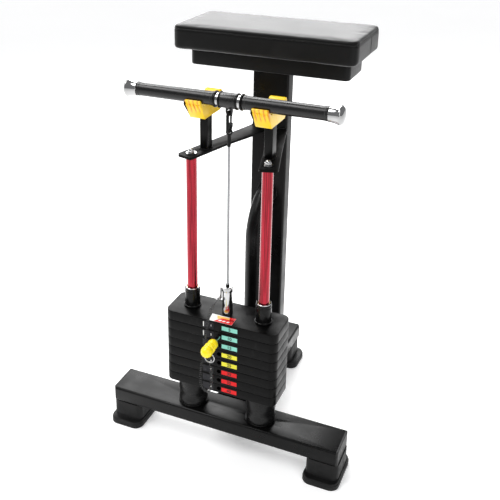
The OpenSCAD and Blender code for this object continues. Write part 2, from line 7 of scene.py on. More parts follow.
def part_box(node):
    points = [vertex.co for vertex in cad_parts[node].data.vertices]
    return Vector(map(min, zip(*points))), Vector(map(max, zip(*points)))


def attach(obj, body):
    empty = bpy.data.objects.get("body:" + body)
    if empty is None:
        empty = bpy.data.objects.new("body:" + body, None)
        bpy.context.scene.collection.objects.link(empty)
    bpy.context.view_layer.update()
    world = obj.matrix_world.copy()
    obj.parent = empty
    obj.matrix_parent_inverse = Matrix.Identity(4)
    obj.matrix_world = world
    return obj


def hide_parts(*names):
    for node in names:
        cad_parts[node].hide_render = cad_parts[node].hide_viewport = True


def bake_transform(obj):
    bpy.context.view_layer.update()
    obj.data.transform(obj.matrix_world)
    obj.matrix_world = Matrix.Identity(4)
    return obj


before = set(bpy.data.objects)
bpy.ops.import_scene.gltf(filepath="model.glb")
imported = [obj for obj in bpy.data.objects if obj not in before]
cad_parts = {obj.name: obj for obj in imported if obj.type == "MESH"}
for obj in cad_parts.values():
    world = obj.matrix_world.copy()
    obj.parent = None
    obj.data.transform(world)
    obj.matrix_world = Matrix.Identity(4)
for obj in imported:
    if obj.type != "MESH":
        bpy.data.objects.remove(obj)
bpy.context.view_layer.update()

# ---- Camera ----
# The camera stands in front of the machine, to its right and above it. All places that are
# given one by one below are measured from the plane of the guide rods, which is y = rod_y.
rod_low, rod_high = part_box("guide_rod_right")
rod_y = (rod_low.y + rod_high.y) / 2
rod_x = (rod_low.x + rod_high.x) / 2

camera_yaw = radians(24.0)
camera_pitch = radians(22.2)
camera_roll = radians(0.3)
camera_distance = 1.7576
camera_aim = Vector((-0.0188, rod_y, 0.7289))

back = Vector((sin(camera_yaw) * cos(camera_pitch), -cos(camera_yaw) * cos(camera_pitch),
               sin(camera_pitch)))
bpy.ops.object.camera_add(location=camera_aim + back * camera_distance)
camera = bpy.context.object
camera.rotation_mode = "QUATERNION"
camera.rotation_quaternion = (-back).to_track_quat("-Z", "Y") @ Quaternion((0, 0, 1), camera_roll)
camera.data.lens = 56.75
camera.data.shift_x = 0.058
camera.data.shift_y = -0.149
bpy.context.scene.camera = camera


# ---- Floor and light ----
# A plain pale studio floor under two soft suns from the front. A large soft box behind lights
# the flat tops, a strip overhead lights the bar, and one strip on each side draws the edges.
class Wire:
    """One output of a shader node. Sums and products of wires become Math nodes."""

    def __init__(self, tree, output):
        self.tree = tree
        self.output = output

    def node(self, kind, settings=None, sockets=None, output=0):
        """Adds a node of that type: its settings first, then each socket's value or link."""
        made = self.tree.nodes.new("ShaderNode" + kind)
        for name, value in (settings or {}).items():
            setattr(made, name, value)
        for name, value in (sockets or {}).items():
            if isinstance(value, Wire):
                self.tree.links.new(value.output, made.inputs[name])
            else:
                made.inputs[name].default_value = value
        return Wire(self.tree, made.outputs[output])

    def math(self, operation, first, second):
        return self.node("Math", {"operation": operation}, {0: first, 1: second})

    def __add__(self, other):
        return self.math("ADD", self, other)

    def __mul__(self, other):
        return self.math("MULTIPLY", self, other)

    __radd__ = __add__
    __rmul__ = __mul__

    def axis(self, index):
        """One coordinate of a place: 0 for x, 1 for y, 2 for z."""
        return self.node("SeparateXYZ", None, {0: self}, index)

    def noise(self, scale, detail=2.0, roughness=0.5):
        return self.node("TexNoise", None, {"Vector": self, "Scale": scale, "Detail": detail,
                                            "Roughness": roughness})

    def stretched(self, x, y, z):
        """The same coordinates with each axis scaled, so a pattern on them runs one way."""
        return self.node("VectorMath", {"operation": "MULTIPLY"}, {0: self, 1: (x, y, z)})

    def ramp(self, low, high, to_low=0.0, to_high=1.0):
        """Maps low..high to to_low..to_high and holds it there."""
        return self.node("MapRange", {"interpolation_type": "SMOOTHSTEP"},
                         {0: self, 1: low, 2: high, 3: to_low, 4: to_high})

    def mixed(self, first, second):
        """A colour between two, this wire being the second one's share."""
        return self.node("Mix", {"data_type": "RGBA"}, {0: self, 6: first, 7: second}, 2)

    def bump(self, height, strength, distance):
        return self.node("Bump", None, {"Height": height, "Strength": strength,
                                        "Distance": distance})


def start_material(name):
    """A new material, and a wire with the object's own coordinates."""
    made = bpy.data.materials.new(name)
    made.use_nodes = True
    coordinates = made.node_tree.nodes.new("ShaderNodeTexCoord")
    return made, Wire(made.node_tree, coordinates.outputs["Object"])


def finish_material(made, sockets):
    """Sets the Principled shader's sockets to values or wires."""
    shader = made.node_tree.nodes["Principled BSDF"]
    for name, value in sockets.items():
        if isinstance(value, Wire):
            made.node_tree.links.new(value.output, shader.inputs[name])
        else:
            shader.inputs[name].default_value = value
    return made


def grey(value, alpha=1.0):
    return (value, value, value, alpha)


floor_paint, place = start_material("studio_floor")
finish_material(floor_paint, {"Base Color": place.noise(1.5).mixed(grey(0.86), grey(0.9)),
                              "Roughness": 0.75, "Emission Color": grey(1),
                              "Emission Strength": 0.27})
bpy.ops.object.select_all(action="DESELECT")
bpy.ops.mesh.primitive_plane_add(size=60, location=(0, 0, -0.0005))
floor = bpy.context.object
floor.name = "studio_floor"
floor.data.materials.append(floor_paint)

world = bpy.data.worlds.new("studio")
world.use_nodes = True
world.node_tree.nodes["Background"].inputs["Color"].default_value = (0.97, 0.98, 1, 1)
world.node_tree.nodes["Background"].inputs["Strength"].default_value = 0.32
bpy.context.scene.world = world
bpy.context.scene.view_settings.view_transform = "Standard"


def aimed(light, place, aim):
    """Turns a light so that it shines from a place towards another."""
    light.rotation_mode = "QUATERNION"
    light.rotation_quaternion = (Vector(aim) - Vector(place)).to_track_quat("-Z", "Y")


def soft_sun(name, place, strength, spread):
    bpy.ops.object.light_add(type="SUN", location=place)
    light = bpy.context.object
    light.name = name
    light.data.energy = strength
    light.data.angle = radians(spread)
    aimed(light, place, (0, 0, 0))


def soft_box(name, place, aim, width, height, watts):
    bpy.ops.object.light_add(type="AREA", location=place)
    light = bpy.context.object
    light.name = name
    light.data.shape = "RECTANGLE"
    light.data.size = width
    light.data.size_y = height
    light.data.energy = watts
    light.visible_camera = False
    aimed(light, place, aim)


soft_sun("key_sun", (-1.2, -1.0, 2.4), 1.4, 30)
soft_sun("fill_sun", (1.4, -1.6, 1.6), 0.8, 50)
soft_box("rear_box", (-1.4, 2.6, 2.3), (0, 0, 0.9), 3.2, 2.4, 120)
soft_box("top_strip", (-0.7, 0.75, 2.6), (0, rod_y, 0.88), 2.4, 0.35, 42)
soft_box("left_strip", (-2.4, -0.4, 1.2), (0, 0, 0.7), 0.5, 2.0, 12)
soft_box("right_strip", (2.0, -1.6, 1.0), (0, 0, 0.6), 0.25, 1.6, 5)


# ---- Lanyard ----
# A black polyurethane cord wound into a springy coil. It hangs from the ferrule on the stem
# in front of the plates and comes up again to the ring under the knob.
lanyard_route = [
    (-22, -13, 411), (-24, -22, 408), (-25, -36, 403), (-25, -50, 394), (-25, -58, 376),
    (-27, -61, 350), (-30, -62, 320), (-34, -63, 290), (-38, -64, 260), (-40, -66, 235),
    (-38, -70, 214), (-28, -76, 203), (-14, -83, 205), (-3, -90, 222), (2, -95, 250),
    (2, -99, 276), (0, -101.5, 301.4)]
# Sizes of the wound cord in metres. It is drawn out over straight_end at both its ends.
lanyard_wire = 0.0014
lanyard_coil_radius = 0.0031
lanyard_pitch = 0.0050
points_per_turn = 14
straight_end = 0.022


def smooth_route(route, steps):
    """Points of a smooth curve through the route's own points, in metres."""
    knots = [Vector((x, y, z)) / 1000 + Vector((0, rod_y, 0)) for x, y, z in route]
    knots = [knots[0]] + knots + [knots[-1]]
    curve = []
    for a, b, c, d in zip(knots, knots[1:], knots[2:], knots[3:]):
        for k in range(steps):
            t = k / steps
            curve.append(b + 0.5 * t * ((c - a) + t * ((2 * a - 5 * b + 4 * c - d)
                                                       + t * (3 * (b - c) + d - a))))
    return curve + [knots[-1]]


def wound_round(curve, radius, pitch, per_turn, ease):
    """A helix about a curve. At both ends it is drawn out, and it ends on the curve itself."""
    lengths = [0.0]
    for a, b in zip(curve, curve[1:]):
        lengths.append(lengths[-1] + (b - a).length)
    total = lengths[-1]
    side = Vector((1, 0, 0))
    helix = []
    index = 0
    turn = 0.0
    along = 0.0
    while along < total:
        while index < len(curve) - 2 and lengths[index + 1] < along:
            index += 1
        ahead = (curve[index + 1] - curve[index]).normalized()
        spot = curve[index] + ahead * (along - lengths[index])
        side = (side - ahead * side.dot(ahead)).normalized()
        wound = min(1.0, along / ease, (total - along) / ease)
        wound = wound * wound * (3 - 2 * wound)
        helix.append(spot + (side * cos(turn) + ahead.cross(side) * sin(turn)) * radius * wound)
        turn += 2 * pi / per_turn
        along += pitch / per_turn * (2.4 - 1.4 * wound)
    return helix + [curve[-1]]


def tube_along(name, points, thickness, cyclic=False, radii=None, sides=2):
    """A mesh tube that follows the points."""
    curve = bpy.data.curves.new(name, "CURVE")
    curve.dimensions = "3D"
    curve.bevel_depth = thickness / 2
    curve.bevel_resolution = sides
    curve.use_fill_caps = not cyclic
    spline = curve.splines.new("POLY")
    spline.points.add(len(points) - 1)
    for point, place in zip(spline.points, points):
        point.co = (*place, 1)
    for point, radius in zip(spline.points, radii or []):
        point.radius = radius
    spline.use_cyclic_u = cyclic
    piece = bpy.data.objects.new(name, curve)
    bpy.context.collection.objects.link(piece)
    pick(piece)
    bpy.ops.object.convert(target="MESH")
    bpy.ops.object.shade_smooth()
    return bpy.context.object


def pick(piece):
    """Selects that object alone and makes it the active one."""
    bpy.ops.object.select_all(action="DESELECT")
    piece.select_set(True)
    bpy.context.view_layer.objects.active = piece
    return piece


def moulded(name, clouds, colours, patches, dullness, grain, relief, **sockets):
    """A moulded finish. clouds, patches and grain are a noise's scale and detail: the first
    mixes the colours, the second the dullness, and the third is the relief."""
    made, place = start_material(name)
    return finish_material(made, {
        "Base Color": place.noise(*clouds).mixed(*colours),
        "Roughness": place.noise(*patches).ramp(0.3, 0.7, *dullness),
        "Normal": place.bump(place.noise(*grain), *relief),
        **{name.replace("_", " "): value for name, value in sockets.items()}})


cord_black = moulded("cord_polyurethane", (90, 2), (grey(0.006), grey(0.02)), (400, 2),
                     (0.1, 0.22), (900, 3), (0.1, 0.0002), Specular_IOR_Level=0.5,
                     Coat_Weight=0.35)

helix = wound_round(smooth_route(lanyard_route, 8), lanyard_coil_radius, lanyard_pitch,
                    points_per_turn, straight_end)
lanyard = tube_along("lanyard_coil", helix, lanyard_wire, sides=1)
lanyard.data.materials.append(cord_black)
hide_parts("lanyard")
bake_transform(lanyard)
sum((b - a).length for a, b in zip(helix, helix[1:]))


# ---- Base tubes ----
# Rectangular steel tubes, welded into a T and powder coated in semi-gloss black. The coating
# has a fine orange peel, and it is a little dusty on its upper faces.
def merged_copy(node, name):
    """A copy of a CAD node's mesh as a new piece, with its corners joined and flats whole."""
    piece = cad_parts[node].copy()
    piece.data = piece.data.copy()
    piece.parent = None
    for key in list(piece.keys()):
        del piece[key]
    piece.name = piece.data.name = name
    bpy.context.collection.objects.link(piece)
    piece.hide_render = False
    piece.hide_viewport = False
    pick(piece)
    bpy.ops.mesh.customdata_custom_splitnormals_clear()
    bpy.ops.object.mode_set(mode="EDIT")
    bpy.ops.mesh.select_all(action="SELECT")
    bpy.ops.mesh.remove_doubles(threshold=1e-6)
    bpy.ops.mesh.dissolve_limited(angle_limit=radians(0.4))
    bpy.ops.object.mode_set(mode="OBJECT")
    return piece


def apply_modifier(piece, kind, **settings):
    """Adds a modifier with those settings and applies it."""
    pick(piece)
    modifier = piece.modifiers.new(kind.lower(), kind)
    for name, value in settings.items():
        setattr(modifier, name, value)
    bpy.ops.object.modifier_apply(modifier=modifier.name)


def soften(piece, width, segments=2, angle=35):
    """Rounds a piece's sharp edges and shades it smooth between those that are left."""
    apply_modifier(piece, "BEVEL", width=width, segments=segments, limit_method="ANGLE",
                   angle_limit=radians(angle), use_clamp_overlap=True, harden_normals=False)
    pick(piece)
    bpy.ops.object.shade_smooth_by_angle(angle=radians(angle))
    return piece


def fit(piece, body, material, slot, *nodes):
    """Gives a piece its material and its body, and hides the CAD nodes that it stands for."""
    piece.data.materials.clear()
    piece.data.materials.append(material)
    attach(piece, body)
    if nodes:
        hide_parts(*nodes)
    return piece


def powder_coat(name, tone, gloss=0.3, sheen=0.16):
    made, place = start_material(name)
    peel = place.noise(520, 2) * 0.6 + place.noise(170, 2) * 0.4
    dust = place.stretched(2, 2, 6).noise(6, 6, 0.65).ramp(0.5, 0.85)
    return finish_material(made, {
        "Base Color": dust.mixed(grey(tone), grey(tone * 3.5)),
        "Roughness": place.noise(14, 4, 0.6).ramp(0.3, 0.7, gloss - 0.06, gloss + 0.1),
        "Normal": place.bump(peel, 0.12, 0.0004),
        "Specular IOR Level": sheen})


black_paint = powder_coat("black_powder_coat", 0.002)


def painted(node, name, width, segments=2):
    """A part of the frame with soft edges and the black powder coat."""
    return fit(soften(merged_copy(node, name), width, segments), "frame", black_paint,
               "frame_paint", node)


for node in ("front_beam", "spine_beam", "upright"):
    painted(node, node + "_tube", 0.0006)

# ---- End caps ----
# Moulded polyethylene plugs that close the three open ends of the base tubes. They have a
# fine spark-eroded grain.
moulded_black = moulded("moulded_black_plastic", (60, 3), (grey(0.005), grey(0.012)), (220, 2),
                        (0.36, 0.5), (1500, 2), (0.2, 0.0003), Specular_IOR_Level=0.22)
fit(soften(merged_copy("beam_end_caps", "tube_end_caps"), 0.0042, 4), "frame", moulded_black,
    "cap_plastic", "beam_end_caps")


# ---- Feet ----
# Rubber feet: a block as deep as the beam stands on a wide flange with round corners. A bead
# runs round the block's foot, and every edge is soft from the mould.
def select_none(piece, *mode):
    """Sets vertex, edge or face selection, with nothing selected."""
    bpy.ops.object.mode_set(mode="OBJECT")
    bpy.context.tool_settings.mesh_select_mode = mode
    for part in (piece.data.vertices, piece.data.edges, piece.data.polygons):
        part.foreach_set("select", [False] * len(part))


def select_faces(piece, test):
    """Selects in edit mode the faces whose middle and normal pass the test."""
    select_none(piece, False, False, True)
    for face in piece.data.polygons:
        face.select = test(face.center, face.normal)
    bpy.ops.object.mode_set(mode="EDIT")


def select_edges(piece, test):
    """Selects in edit mode the edges whose two ends pass the test."""
    select_none(piece, False, True, False)
    for edge in piece.data.edges:
        a, b = (piece.data.vertices[i].co for i in edge.vertices)
        edge.select = test(a, b)
    bpy.ops.object.mode_set(mode="EDIT")


def is_upright(a, b):
    return abs(a.x - b.x) < 1e-6 and abs(a.y - b.y) < 1e-6


def box_between(name, low, high):
    """A box with its place in its mesh."""
    bpy.ops.object.select_all(action="DESELECT")
    bpy.ops.mesh.primitive_cube_add(size=1, location=(Vector(low) + Vector(high)) / 2)
    piece = bpy.context.object
    piece.name = piece.data.name = name
    piece.scale = Vector(high) - Vector(low)
    bpy.ops.object.transform_apply(location=True, rotation=True, scale=True)
    return piece


def round_corners(piece, radius, segments=8):
    """Rounds a box's four upright edges."""
    pick(piece)
    select_edges(piece, is_upright)
    bpy.ops.mesh.bevel(offset=radius, segments=segments, affect="EDGES")
    bpy.ops.object.mode_set(mode="OBJECT")


def copied(piece, name, matrix):
    """A copy with a mesh of its own, moved within that mesh."""
    twin = piece.copy()
    twin.data = piece.data.copy()
    twin.name = twin.data.name = name
    bpy.context.collection.objects.link(twin)
    twin.data.transform(matrix)
    return twin


foot_rubber, place = start_material("foot_rubber")
finish_material(foot_rubber, {
    "Base Color": place.noise(30, 5, 0.6).ramp(0.5, 0.8).mixed(grey(0.004), grey(0.016)),
    "Roughness": place.noise(45, 3).ramp(0.3, 0.7, 0.38, 0.56),
    "Normal": place.bump(place.noise(700, 3), 0.25, 0.0005),
    "Specular IOR Level": 0.22})

foot_low, foot_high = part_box("front_foot_right")
flange_edge = 0.0105
flange_corner = 0.022
foot = box_between("foot_front_right", foot_low, (foot_high.x, foot_high.y, flange_edge))
round_corners(foot, flange_corner, 10)
# Each step lifts the top face and draws it in: the flange's round edge, a bead, the block.
# The block's side is the longest step, and it takes up what is left of the foot's height.
block_side = 0.0400
foot_steps = [(0.0010, 0.0004), (0.0006, 0.0011), (0, 0.0026), (0.0038, 0.0006),
              (0.0008, 0.0006), (0.0003, 0.0010), (0, 0.0030), (0.0008, 0.0008),
              (block_side, 0.0006), (0.0012, 0.0006), (0.0006, 0.0012)]
height_left = foot_high.z - sum(rise for rise, _ in foot_steps) - flange_edge
for rise, inset in foot_steps:
    pick(foot)
    select_faces(foot, lambda middle, normal: normal.z > 0.999)
    bpy.ops.mesh.inset(thickness=inset)
    grow = height_left if rise == block_side else 0
    bpy.ops.transform.translate(value=(0, 0, rise + grow))
    bpy.ops.object.mode_set(mode="OBJECT")
# The block's sides across the beam are pulled in to the beam's own depth.
beam_low, beam_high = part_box("front_beam")
block_foot = 0.0170
block_half = max(v.co.y for v in foot.data.vertices if v.co.z > block_foot) - rod_y
for vertex in foot.data.vertices:
    if vertex.co.z > block_foot:
        vertex.co.y = rod_y + (vertex.co.y - rod_y) * (beam_high.y - rod_y) / block_half
pick(foot)
bpy.ops.object.shade_smooth_by_angle(angle=radians(40))
rear_low, rear_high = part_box("rear_foot")
foot_middle = (foot_low + foot_high) / 2
rear_middle = (rear_low + rear_high) / 2
foot_middle.z = rear_middle.z = 0
turn_to_rear = (Matrix.Translation(rear_middle) @ Matrix.Rotation(pi / 2, 4, "Z")
                @ Matrix.Translation(-foot_middle))
rear = copied(foot, "foot_rear", turn_to_rear)
left = copied(foot, "foot_front_left", Matrix.Translation((-2 * foot_middle.x, 0, 0)))
for piece, node in ((rear, "rear_foot"), (left, "front_foot_left"), (foot, "front_foot_right")):
    fit(piece, "frame", foot_rubber, "foot_rubber", node)


# ---- Bolts ----
# Zinc-plated hexagon bolts hold the feet and the rods, and black screws hold the pad. Most of
# them are only seen from below. The plating is a little cloudy.
def metal(name, tone, rough, grain=None, spread=0.06, tint=(1, 1, 1)):
    """A bare or plated metal. grain stretches its fine scratches along one axis."""
    made, place = start_material(name)
    lines = place.stretched(*(grain or (1, 1, 1))).noise(240, 4, 0.6)
    clouds = place.noise(35, 3)
    light = tuple(tone * c for c in tint) + (1,)
    dark = tuple(tone * 0.82 * c for c in tint) + (1,)
    return finish_material(made, {
        "Base Color": clouds.mixed(dark, light), "Metallic": 1.0,
        "Roughness": (lines * 0.5 + clouds * 0.5).ramp(0.3, 0.7, rough, rough + spread),
        "Normal": place.bump(lines, 0.08, 0.0002)})


def paint_node(node, material):
    """A CAD node that keeps its shape gets its finish."""
    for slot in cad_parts[node].material_slots:
        slot.link = "OBJECT"
        slot.material = material


zinc = metal("zinc_plating", 0.62, 0.28, spread=0.15)
for node in ("foot_bolts", "rod_base_bolts", "stem_screw", "gate_rivet"):
    paint_node(node, zinc)
paint_node("pad_screws", metal("blackened_steel", 0.03, 0.4))

# ---- Brace ----
# A round steel tube that rises from the spine and bends back into the upright. It has the
# same powder coat as the rest of the frame.
painted("brace_tube", "bent_brace", 0.0004, 1)

# ---- Weld seams ----
# Beads of weld metal where the tubes and plates meet. Each bead is a row of overlapping
# scallops under the powder coat.
weld_size = 0.0042
scallop = 0.0022


def weld(name, corners, closed=False):
    """A bead along straight stretches between corners, in metres from the rods' plane."""
    ends = [Vector(c) + Vector((0, rod_y, 0)) for c in corners]
    legs = list(zip(ends, ends[1:] + ends[:1])) if closed else list(zip(ends, ends[1:]))
    points = []
    for a, b in legs:
        count = max(1, round((b - a).length / scallop)) * 2
        points += [a.lerp(b, k / count) for k in range(count)]
    if not closed:
        points.append(ends[-1])
    radii = [1.0 if k % 2 else 0.8 for k in range(len(points))]
    return fit(tube_along(name, points, weld_size, closed, radii, sides=1), "frame",
               black_paint, "frame_paint")


def ellipse(middle, first, second, count=48):
    return [middle + first * cos(2 * pi * k / count) + second * sin(2 * pi * k / count)
            for k in range(count)]


def rectangle(x0, x1, y0, y1, z):
    return [(x0, y0, z), (x1, y0, z), (x1, y1, z), (x0, y1, z)]


post_low, post_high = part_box("upright")
brace_low, brace_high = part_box("brace_tube")
deck = beam_high.z
tube_corner = 0.005
deck_edge = deck - 0.004
beam_edge = beam_low.z + 0.004
spine_half = (post_high.x - post_low.x) / 2
upright_front = post_low.y - rod_y
brace_radius = (brace_high.x - brace_low.x) / 2
brace_y = brace_low.y - rod_y + brace_radius
beam_back = beam_high.y - rod_y
weld("weld_spine", [(x, beam_back, z) for x, z in (
    (-spine_half, beam_edge), (-spine_half, deck_edge), (-spine_half + tube_corner, deck),
    (spine_half - tube_corner, deck), (spine_half, deck_edge), (spine_half, beam_edge))])
weld("weld_upright", rectangle(-spine_half, spine_half, upright_front,
                               post_high.y - rod_y, deck), True)
weld("weld_brace_foot", ellipse(Vector((0, brace_y, deck)), Vector((brace_radius, 0, 0)),
                                Vector((0, brace_radius, 0))), True)
brace_cut = brace_radius / cos(radians(30))
weld("weld_brace_top", ellipse(Vector((0, upright_front, brace_high.z - brace_cut)),
                               Vector((brace_radius, 0, 0)), Vector((0, 0, brace_cut))), True)

# ---- Guide rods ----
# Two ground steel rods with a deep red metallic lacquer. The lacquer is clear and very
# glossy, with faint lines along the rod from the sleeves that run on it.
rod_red, place = start_material("red_metallic_lacquer")
runs = place.stretched(1, 1, 0.02).noise(420, 3, 0.6)
finish_material(rod_red, {
    "Base Color": runs.ramp(0.35, 0.65).mixed((0.16, 0.002, 0.008, 1), (0.42, 0.012, 0.03, 1)),
    "Metallic": 0.9, "Roughness": runs.ramp(0.3, 0.7, 0.1, 0.22), "Coat Weight": 0.35,
    "Coat Roughness": 0.06, "Normal": place.bump(runs, 0.12, 0.0003)})
for node in ("guide_rod_left", "guide_rod_right"):
    paint_node(node, rod_red)


# ---- Bumpers ----
# Black rubber rings round the feet of the rods, which take the stack's fall, on flat steel
# rings. They are turned shapes with a rolled top edge and two shallow waists.
def turned(name, profile, middle, axis="Z", steps=64):
    """A lathe shape: profile is (radius, place along the axis) from one end to the other."""
    ways = {"X": Vector((1, 0, 0)), "Y": Vector((0, 1, 0)), "Z": Vector((0, 0, 1))}
    along = ways[axis]
    out = ways["Z"] if axis == "X" else ways["X"]
    centre = Vector(middle)
    points = [centre + out * r + along * h for r, h in profile]
    mesh = bpy.data.meshes.new(name)
    mesh.from_pydata(points, [(k, k + 1) for k in range(len(points) - 1)], [])
    piece = bpy.data.objects.new(name, mesh)
    bpy.context.collection.objects.link(piece)
    pick(piece)
    bpy.ops.object.mode_set(mode="EDIT")
    bpy.ops.mesh.select_all(action="SELECT")
    bpy.ops.mesh.spin(steps=steps, angle=2 * pi, center=centre, axis=along)
    bpy.ops.mesh.select_all(action="SELECT")
    bpy.ops.mesh.remove_doubles(threshold=1e-6)
    bpy.ops.mesh.normals_make_consistent(inside=False)
    bpy.ops.object.mode_set(mode="OBJECT")
    bpy.ops.object.shade_smooth_by_angle(angle=radians(35))
    return piece


def arc(r, h, size, start, end, count=6):
    """Points of a round edge about (r, h), from one angle to another in degrees."""
    angles = [radians(start + (end - start) * k / count) for k in range(count + 1)]
    return [(r + size * cos(a), h + size * sin(a)) for a in angles]


bumper_rubber, place = start_material("bumper_rubber")
finish_material(bumper_rubber, {
    "Base Color": place.noise(26, 5, 0.6).ramp(0.45, 0.8).mixed(grey(0.004), grey(0.013)),
    "Roughness": place.stretched(1, 1, 6).noise(60, 3).ramp(0.3, 0.7, 0.26, 0.42),
    "Normal": place.bump(place.noise(800, 3), 0.18, 0.0004),
    "Specular IOR Level": 0.22})

bumper_low, bumper_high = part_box("bumper_right")
bumper_out = (bumper_high.x - bumper_low.x) / 2
bore = 0.0135
foot_z, top_z = bumper_low.z, bumper_high.z
bumper_profile = ([(bore, foot_z + 0.001), (bore + 0.001, foot_z)]
                  + arc(bumper_out - 0.002, foot_z + 0.002, 0.002, -90, 0)
                  + [(bumper_out, foot_z + 0.010), (bumper_out - 0.0012, foot_z + 0.013),
                     (bumper_out - 0.0012, foot_z + 0.030), (bumper_out, foot_z + 0.033),
                     (bumper_out, top_z - 0.016)]
                  + arc(bumper_out - 0.009, top_z - 0.009, 0.009, 0, 90)
                  + [(bore + 0.001, top_z), (bore, top_z - 0.001), (bore, foot_z + 0.001)])
for side, node in ((-1, "bumper_left"), (1, "bumper_right")):
    fit(turned("rubber_" + node, bumper_profile, (side * rod_x, rod_y, 0)), "frame",
        bumper_rubber, "bumper_rubber", node)
painted("bumper_rings", "bumper_base_rings", 0.0008)

# ---- Weight plates ----
# Cast iron plates, machined flat and painted satin black. Each is drilled for the rods and
# the stem, all but the head plate have a pin hole in front, and the paint is rubbed in places.
plate_paint, place = start_material("painted_cast_iron")
cast = place.noise(330, 4, 0.6)
rubbed = place.stretched(3, 3, 1).noise(22, 5, 0.7).ramp(0.56, 0.74)
finish_material(plate_paint, {
    "Base Color": rubbed.mixed(grey(0.0015), grey(0.006)),
    "Roughness": place.noise(40, 4, 0.6).ramp(0.3, 0.7, 0.28, 0.42),
    "Normal": place.bump(cast, 0.16, 0.0005),
    "Specular IOR Level": 0.1})


def drilled(piece, radius, depth, middle, axis="Z"):
    """Cuts a round hole through a piece."""
    turn = (pi / 2, 0, 0) if axis == "Y" else (0, 0, 0)
    bpy.ops.mesh.primitive_cylinder_add(vertices=48, radius=radius, depth=depth,
                                        location=middle, rotation=turn)
    drill = bpy.context.object
    apply_modifier(piece, "BOOLEAN", operation="DIFFERENCE", solver="EXACT", object=drill)
    bpy.data.objects.remove(drill)


plate_count = 8
plate_corner = 0.018
stem_hole = 0.0131
rod_hole = 0.0145
pin_hole = 0.0055
plate_low, plate_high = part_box("weight_plate_8")
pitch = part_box("weight_plate_7")[0].z - plate_low.z
plate_middle = (plate_low + plate_high) / 2
blank = box_between("plate_blank", plate_low, plate_high)
round_corners(blank, plate_corner, 12)
soften(blank, 0.0014, 3)
drilled(blank, stem_hole, 0.1, (0, rod_y, plate_middle.z))
for side in (-1, 1):
    drilled(blank, rod_hole, 0.1, (side * rod_x, rod_y, plate_middle.z))
pinned = copied(blank, "plate_pinned", Matrix.Identity(4))
drilled(pinned, pin_hole, 0.08, (0, plate_low.y + 0.02, plate_middle.z), "Y")
for number in range(1, plate_count + 1):
    node = "head_plate" if number == 1 else f"weight_plate_{number}"
    shape = blank if number == 1 else pinned
    rise = Matrix.Translation((0, 0, (plate_count - number) * pitch))
    plate = copied(shape, "iron_" + node, rise)
    pick(plate)
    bpy.ops.object.shade_smooth_by_angle(angle=radians(30))
    fit(plate, "carriage" if number < 3 else "frame", plate_paint, "plate_iron", node)
for spare in (blank, pinned):
    bpy.data.objects.remove(spare)


# ---- Number labels ----
# Printed vinyl stickers on the plates' fronts. The right-hand ones are coloured by weight and
# carry a plain number. The left-hand ones are black with a small count, the top two ticked.
def vinyl(name, colour):
    made, place = start_material(name)
    worn = place.noise(160, 4, 0.65).ramp(0.55, 0.8)
    faded = tuple(0.75 * c + 0.08 for c in colour) + (1,)
    return finish_material(made, {
        "Base Color": worn.mixed(tuple(colour) + (1,), faded),
        "Roughness": place.noise(90).ramp(0.3, 0.7, 0.3, 0.42),
        "Normal": place.bump(place.noise(500), 0.08, 0.0002),
        "Specular IOR Level": 0.15})


label_colours = {"teal": (0.24, 0.62, 0.52), "yellow": (0.80, 0.74, 0.05),
                 "red": (0.72, 0.012, 0.014), "orange": (0.95, 0.50, 0.10)}
label_finish = {name: vinyl("vinyl_" + name, colour) for name, colour in label_colours.items()}
ink = vinyl("vinyl_ink", (0.015, 0.015, 0.018))
paper = vinyl("vinyl_white", (0.85, 0.85, 0.83))
label_order = ["teal"] * 3 + ["yellow"] * 2 + ["red"] * 3
label_x0, label_x1 = 0.0070, 0.0465
label_height = 0.0112
label_size = 0.0115
label_thick = 0.0003
backing_x0, backing_x1 = -0.0425, -0.0145
backing_height = 0.0175
tick_x0, tick_x1 = -0.0412, -0.0390
tick_height = 0.0130
count_x = -0.0205
count_size = 0.0068
face_y = plate_low.y
kilos_per_plate = 5


def flat_label(name, x0, x1, z, height, layer, material, body):
    """A thin sticker on the plates' front, on the first or second layer."""
    front = face_y - label_thick * layer
    low, high = (x0, front, z - height / 2), (x1, front + label_thick, z + height / 2)
    return fit(box_between(name, low, high), body, material, "plate_iron")


def number_mesh(name, text, size, x, z, layer, material, body):
    """Flat figures, centred on (x, z), made a mesh before they are put in place."""
    bpy.ops.object.select_all(action="DESELECT")
    bpy.ops.object.text_add(location=(0, 0, 0))
    figures = bpy.context.object
    figures.data.body = text
    figures.data.size = size
    figures.data.align_x = "CENTER"
    figures.data.align_y = "CENTER"
    figures.data.extrude = label_thick / 2
    figures.data.offset = 0.0002
    bpy.ops.object.convert(target="MESH")
    piece = bpy.context.object
    piece.name = piece.data.name = name
    front = face_y - label_thick * (layer - 0.5)
    piece.data.transform(Matrix.Translation((x, front, z)) @ Matrix.Rotation(pi / 2, 4, "X"))
    return fit(piece, body, material, "plate_iron")


for number in range(1, plate_count + 1):
    middle_z = plate_middle.z + (plate_count - number) * pitch
    body = "carriage" if number < 3 else "frame"
    colour = label_finish[label_order[number - 1]]
    middle_x = (label_x0 + label_x1) / 2
    flat_label(f"label_{number}", label_x0, label_x1, middle_z, label_height, 1, colour, body)
    number_mesh(f"label_number_{number}", str(number * kilos_per_plate), label_size, middle_x,
                middle_z - 0.0002, 2, ink, body)
    flat_label(f"label_backing_{number}", backing_x0, backing_x1, middle_z, backing_height, 1,
               ink, body)
    if number < 3:
        flat_label(f"label_tick_{number}", tick_x0, tick_x1, middle_z, tick_height, 2, paper,
                   body)
    number_mesh(f"label_count_{number}", str(number), count_size, count_x, middle_z, 2, paper,
                body)

